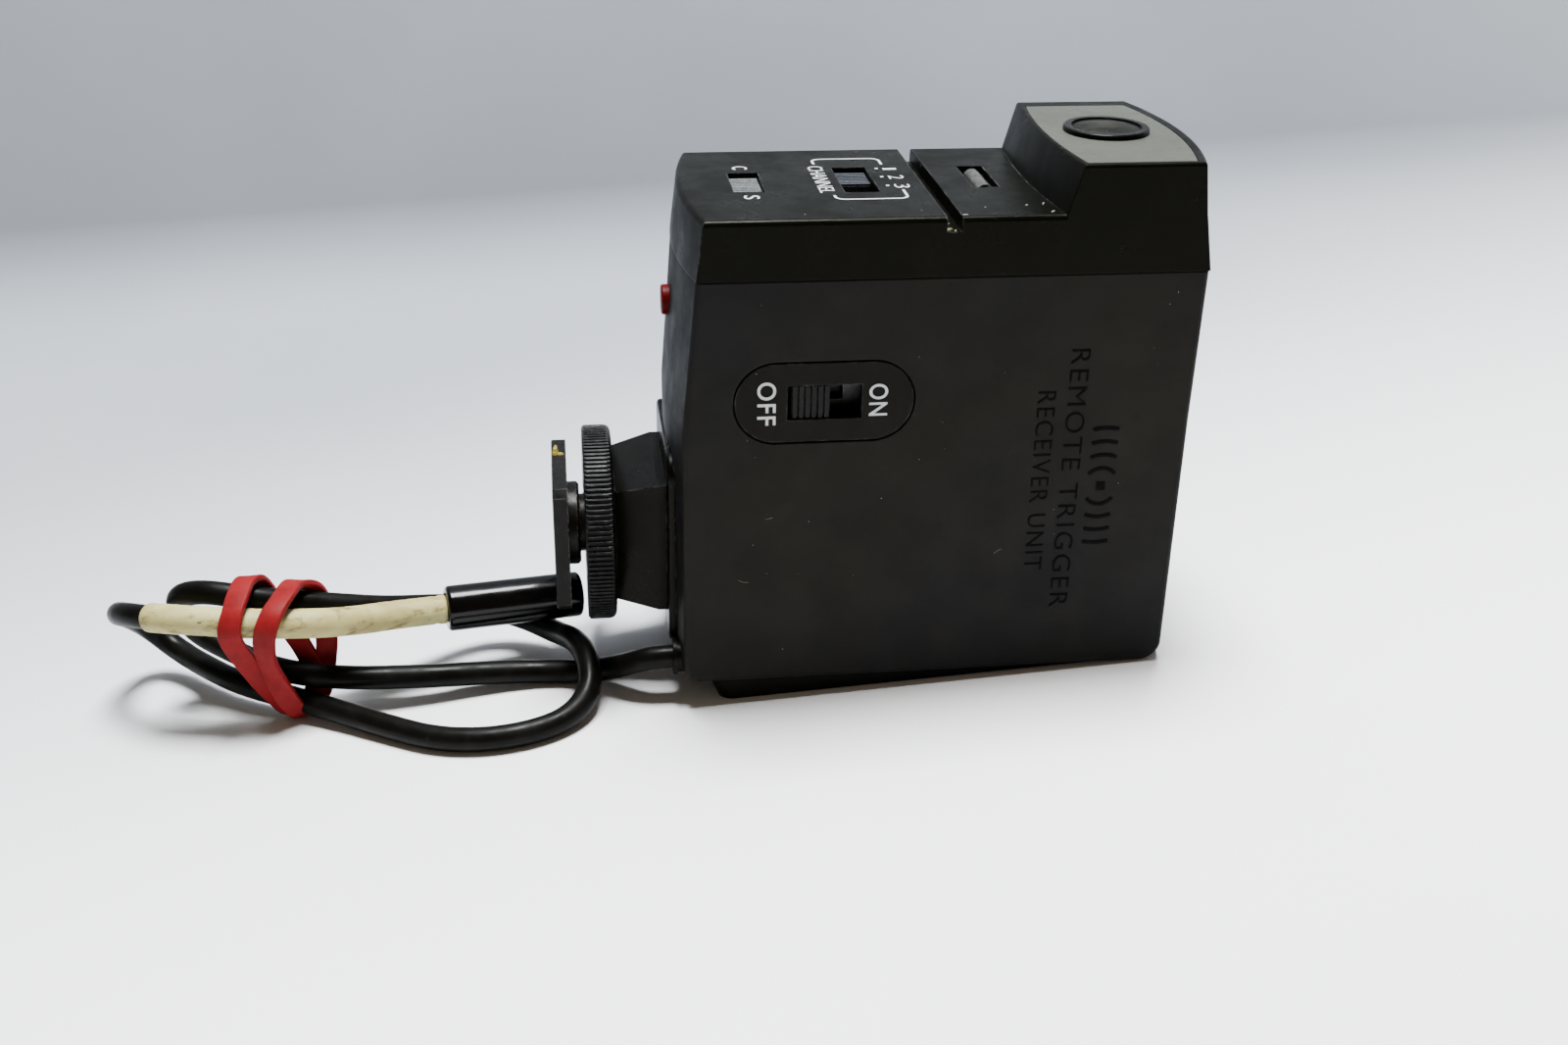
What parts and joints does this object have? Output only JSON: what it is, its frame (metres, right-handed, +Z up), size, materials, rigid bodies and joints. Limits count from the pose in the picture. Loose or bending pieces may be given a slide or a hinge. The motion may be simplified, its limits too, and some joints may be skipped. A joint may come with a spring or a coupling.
{
  "type": "wireless remote receiver with accessory-shoe foot",
  "caption": "Infrared wireless remote receiver for a camera: boxy case with sensor head, slide switches, shoe foot with lock ring, and a banded release cord with a round plug.",
  "frame": {"origin": "on the surface it stands on, under the middle of the case and foot without the cord", "axes": "+Z up; +X towards the sensor end, -X towards the shoe foot and cord; -Y out of the lettered front face"},
  "size_m": [0.1498, 0.0405, 0.0718],
  "materials": {
    "body_plastic": "fine satin moulding texture",
    "door_plastic": "fine satin moulding texture",
    "grey_plate": "fine grain, satin",
    "ring_plastic": "semi-gloss",
    "filter_lens": "polished infrared filter",
    "board": "solder mask",
    "photodiode": "polished",
    "tin_plate": "tinned",
    "lamp_lens": "smoky diffusing moulding",
    "led": "epoxy",
    "white_knob": "satin",
    "blue_knob": "satin",
    "switch_body": "matte",
    "plate_plastic": "fine grain",
    "black_knob": "satin",
    "components": "moulded",
    "red_button": "satin",
    "spring_steel": "plated",
    "screw_steel": "zinc",
    "flange_plastic": "satin",
    "foot_metal": "black satin, worn edges",
    "brass": "turned",
    "ring_rubbery": "fine ribs",
    "cell_can": "printed sleeve",
    "cord_black": "smooth semi-gloss jacket",
    "sleeve_cream": "aged cream, stained",
    "plug_black": "glossy",
    "red_rubber": "satin"
  },
  "bodies": {
    "case": {"main_case": "body_plastic", "top_cover": "body_plastic", "head_face_plate": "grey_plate", "lens_ring": "ring_plastic", "sensor_lens": "filter_lens", "sensor_board": "board", "photodiode": "photodiode", "sensor_shield": "tin_plate", "lamp_lens": "lamp_lens", "signal_led": "led", "mode_switch": "switch_body", "channel_switch": "switch_body", "power_plate": "plate_plastic", "power_switch": "switch_body", "circuit_board": "board", "board_components": "components", "tact_switch": "switch_body", "button_spring": "spring_steel", "battery_magazine": "body_plastic", "battery_springs": "spring_steel", "battery_contacts": "spring_steel", "cover_screws": "screw_steel", "board_screws": "screw_steel", "flange_screws": "screw_steel", "power_switch_screws": "screw_steel", "mount_flange": "flange_plastic", "foot_pedestal": "flange_plastic", "foot_post": "foot_metal", "foot_plate": "foot_metal", "foot_screw": "screw_steel", "foot_nut": "screw_steel", "cord_grommet": "cord_black", "battery_cell_1": "cell_can", "battery_cell_2": "cell_can", "battery_cell_3": "cell_can", "battery_cell_4": "cell_can", "cord": "cord_black", "cord_sleeve": "sleeve_cream", "plug_barrel": "plug_black", "plug_contacts": "brass", "rubber_band": "red_rubber"},
    "ring_bush": {"ring_bush": "brass"},
    "lock_ring": {"lock_ring": "ring_rubbery"},
    "power_knob": {"power_knob": "black_knob"},
    "channel_knob": {"channel_knob": "blue_knob"},
    "mode_knob": {"mode_knob": "white_knob"},
    "test_button": {"test_button": "red_button"},
    "battery_door": {"battery_door": "door_plastic"}
  },
  "joints": [
    {"name": "ring_travel", "type": "slide", "parent": "case", "child": "ring_bush", "axis": [-0.9982, 0, 0.0602], "range_m": [0, 0.000458]},
    {"name": "ring_spin", "type": "hinge", "parent": "ring_bush", "child": "lock_ring", "pos_m": [-0.03723, 0.0002, 0.02124], "axis": [-0.9982, 0, 0.0602], "range_deg": [0, 220]},
    {"name": "power_slide", "type": "slide", "parent": "case", "child": "power_knob", "axis": [0.9982, 0, -0.0602], "range_m": [0, 0.0034]},
    {"name": "channel_slide", "type": "slide", "parent": "case", "child": "channel_knob", "axis": [0, -1, 0], "range_m": [0, 0.006]},
    {"name": "mode_slide", "type": "slide", "parent": "case", "child": "mode_knob", "axis": [0, -1, 0], "range_m": [0, 0.0024]},
    {"name": "test_press", "type": "slide", "parent": "case", "child": "test_button", "axis": [0.9982, 0, -0.0602], "range_m": [0, 0.0007], "stiffness_N_per_m": 300, "springref_m": -0.0004, "deforming": ["button_spring"]},
    {"name": "door_slide", "type": "slide", "parent": "case", "child": "battery_door", "axis": [0.9982, 0, -0.0602], "range_m": [0, 0.008]}
  ],
  "couplings": [
    {"joint": "ring_spin", "follows": "ring_travel", "rad_per_m": 8377.6}
  ]
}
